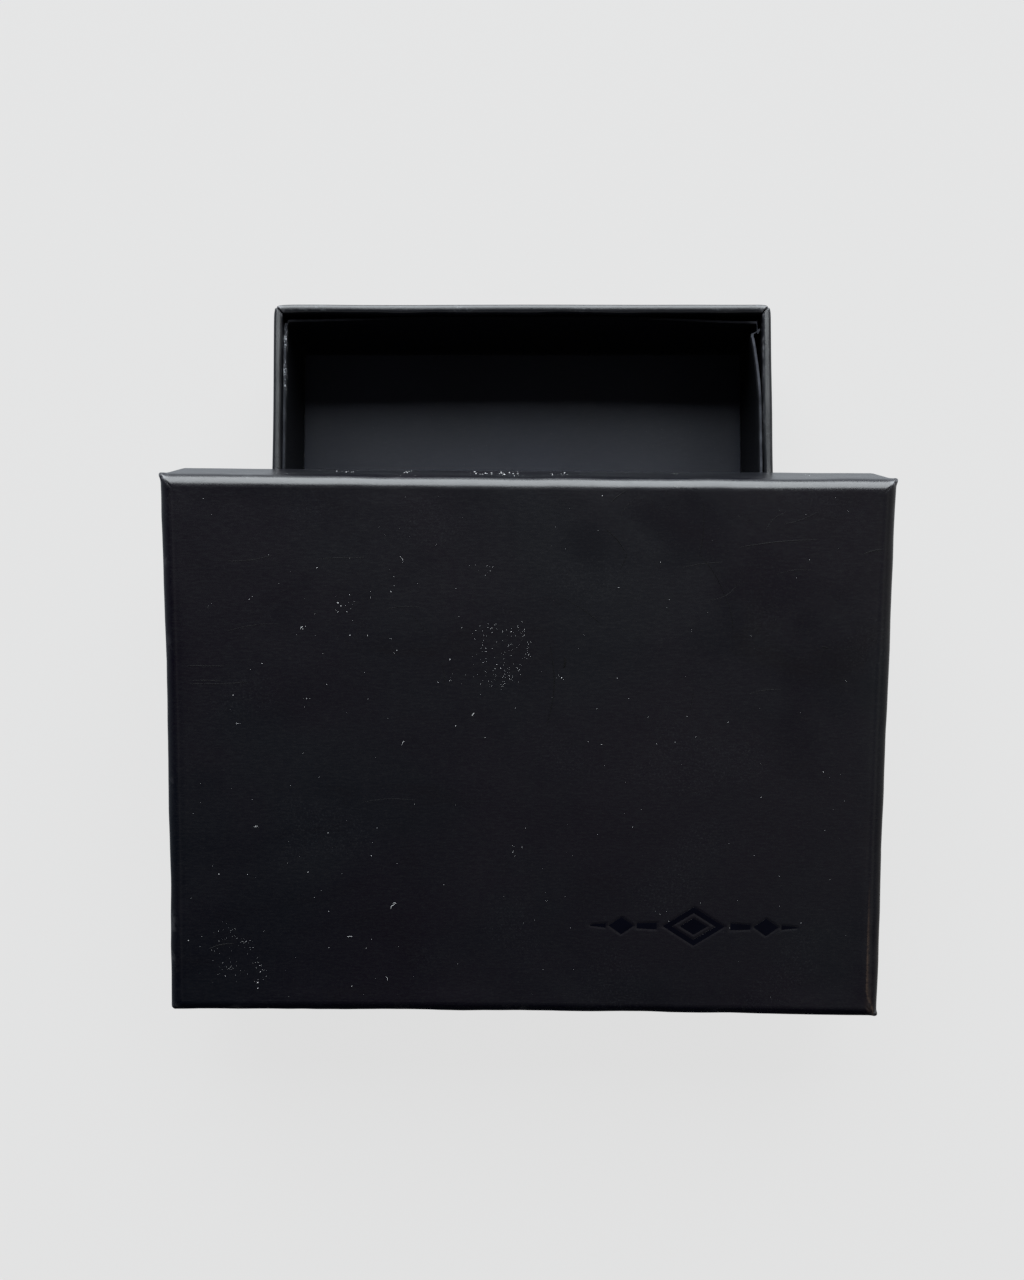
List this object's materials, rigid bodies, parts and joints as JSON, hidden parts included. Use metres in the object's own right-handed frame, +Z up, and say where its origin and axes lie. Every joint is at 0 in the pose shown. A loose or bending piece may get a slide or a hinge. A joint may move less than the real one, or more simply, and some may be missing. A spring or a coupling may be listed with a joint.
{
  "type": "jewellery gift box",
  "caption": "Two-part rigid paper-wrapped jewellery gift box: an open lined tray with its deep lift-off lid resting crosswise and tilted on top.",
  "frame": {"origin": "centre of the tray's flat underside", "axes": "+X along the tray's short side, which is also the lid's long side; +Y along the tray's long side, from the lid's low edge to its raised edge; +Z up out of the tray"},
  "size_m": [0.1247, 0.127, 0.052],
  "materials": {
    "wrap_paper": "soft-touch black paper, low sheen, fine grain",
    "liner_card": "satin black card with a grey raw edge",
    "liner_paper": "satin black paper",
    "greyboard": "uncoated greyboard",
    "gummed_tape": "brown gummed paper tape",
    "stamp_foil": "glossy black hot-stamped foil"
  },
  "bodies": {
    "base": {"base_wrap": "wrap_paper", "base_board": "greyboard", "base_corner_stay_1": "gummed_tape", "base_corner_stay_2": "gummed_tape", "base_corner_stay_3": "gummed_tape", "base_corner_stay_4": "gummed_tape", "base_wall_liner": "liner_card", "base_floor_liner": "liner_card"},
    "lid": {"lid_wrap": "wrap_paper", "lid_board": "greyboard", "lid_corner_stay_1": "gummed_tape", "lid_corner_stay_2": "gummed_tape", "lid_corner_stay_3": "gummed_tape", "lid_corner_stay_4": "gummed_tape", "lid_liner": "liner_paper"}
  },
  "joints": [
    {"name": "lid_lift", "type": "slide", "parent": "base", "child": "lid", "axis": [0, 0, 1], "range_m": [0, 0.08]}
  ]
}
